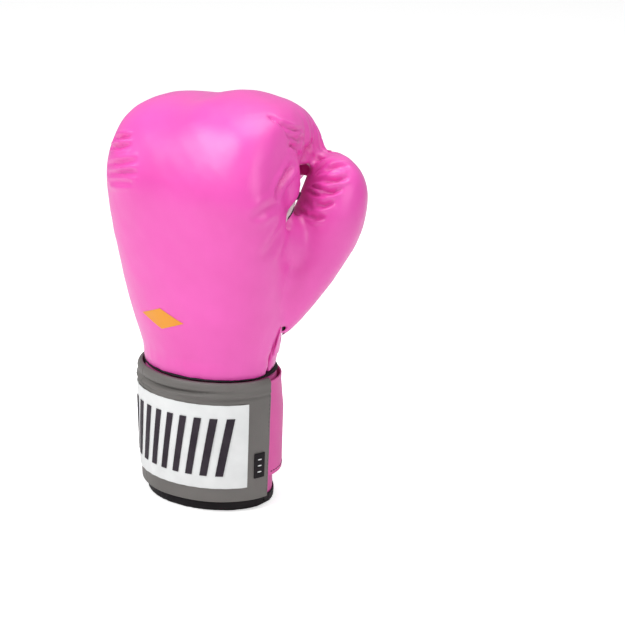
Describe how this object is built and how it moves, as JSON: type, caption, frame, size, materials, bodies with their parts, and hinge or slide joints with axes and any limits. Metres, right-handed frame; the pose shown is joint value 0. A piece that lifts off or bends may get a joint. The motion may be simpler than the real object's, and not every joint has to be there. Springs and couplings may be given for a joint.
{
  "type": "boxing glove",
  "caption": "Left-hand padded training boxing glove with attached thumb, ventilated palm, and a padded cuff closed by a wrap-round hook-and-loop wrist strap.",
  "frame": {"origin": "centre of the wrist opening, in the plane of the cuff's rim", "axes": "+Z from the wrist to the knuckles, +X towards the thumb side, +Y towards the palm, -Y the back of the hand"},
  "size_m": [0.1716, 0.1309, 0.279],
  "materials": {
    "pink_leather": "smooth synthetic leather, satin",
    "pink_trim_leather": "smooth synthetic leather, satin",
    "grey_leather": "fine-grained synthetic leather",
    "white_leather": "smooth synthetic leather with black stitching",
    "black_mesh": "open-knit ventilation mesh",
    "black_elastic": "ribbed elastic webbing",
    "black_binding": "folded binding tape",
    "black_lining": "woven lining",
    "hook_and_loop": "hook-and-loop tape",
    "foam": "injected and layered foam padding",
    "white_label": "satin woven label with a dark pattern",
    "orange_mark": "thin printed mark"
  },
  "bodies": {
    "glove": {"back_foam": "foam", "back_mark": "orange_mark", "cuff_back_cover": "pink_trim_leather", "cuff_foam": "foam", "cuff_lining": "black_lining", "cuff_little_cover": "pink_trim_leather", "cuff_piping": "black_binding", "cuff_thumb_cover": "pink_trim_leather", "finger_foam": "foam", "fist_leather": "pink_leather", "fold_foam": "foam", "grip_bar": "foam", "hand_lining": "black_lining", "knuckle_foam": "foam", "loop_tape": "hook_and_loop", "palm_base_band": "pink_leather", "palm_mesh": "black_mesh", "palm_pad": "foam", "rim_binding": "black_binding", "slit_facing": "white_leather", "slit_tongue": "black_lining", "strap_root_tab": "black_elastic", "thumb_foam": "foam", "thumb_leather": "pink_leather", "thumb_lining": "black_lining", "thumb_lock_strip": "pink_leather", "thumb_root_foam": "foam", "thumb_trim": "white_leather"},
    "strap_palm": {"strap_elastic": "black_elastic"},
    "strap_side": {"strap_side_leather": "pink_trim_leather", "strap_side_band": "grey_leather", "strap_binding_lower": "black_binding", "strap_binding_upper": "black_binding"},
    "strap_back": {"strap_back_band": "grey_leather", "label_back": "white_label"},
    "strap_tip": {"strap_end_band": "grey_leather", "label_end": "white_label", "hook_tape": "hook_and_loop", "size_tab": "black_binding"}
  },
  "joints": [
    {"name": "strap_root_fold", "type": "hinge", "parent": "glove", "child": "strap_palm", "pos_m": [0.03053, 0.03475, 0.048], "axis": [-0.0201, -0.0229, -0.9995], "range_deg": [0, 25]},
    {"name": "strap_palm_fold", "type": "hinge", "parent": "strap_palm", "child": "strap_side", "pos_m": [-0.01368, 0.04212, 0.048], "axis": [0.0085, -0.0262, -0.9996], "range_deg": [0, 40]},
    {"name": "strap_peel", "type": "hinge", "parent": "strap_side", "child": "strap_back", "pos_m": [-0.05281, -0.00462, 0.048], "axis": [0.0373, 0.0033, -0.9993], "range_deg": [0, 100]},
    {"name": "strap_tip_peel", "type": "hinge", "parent": "strap_back", "child": "strap_tip", "pos_m": [0.0038, -0.04348, 0.048], "axis": [-0.0023, 0.0268, -0.9996], "range_deg": [0, 70]}
  ],
  "couplings": [
    {"joint": "strap_palm_fold", "follows": "strap_peel", "ratio": 0.4},
    {"joint": "strap_root_fold", "follows": "strap_peel", "ratio": 0.25}
  ]
}
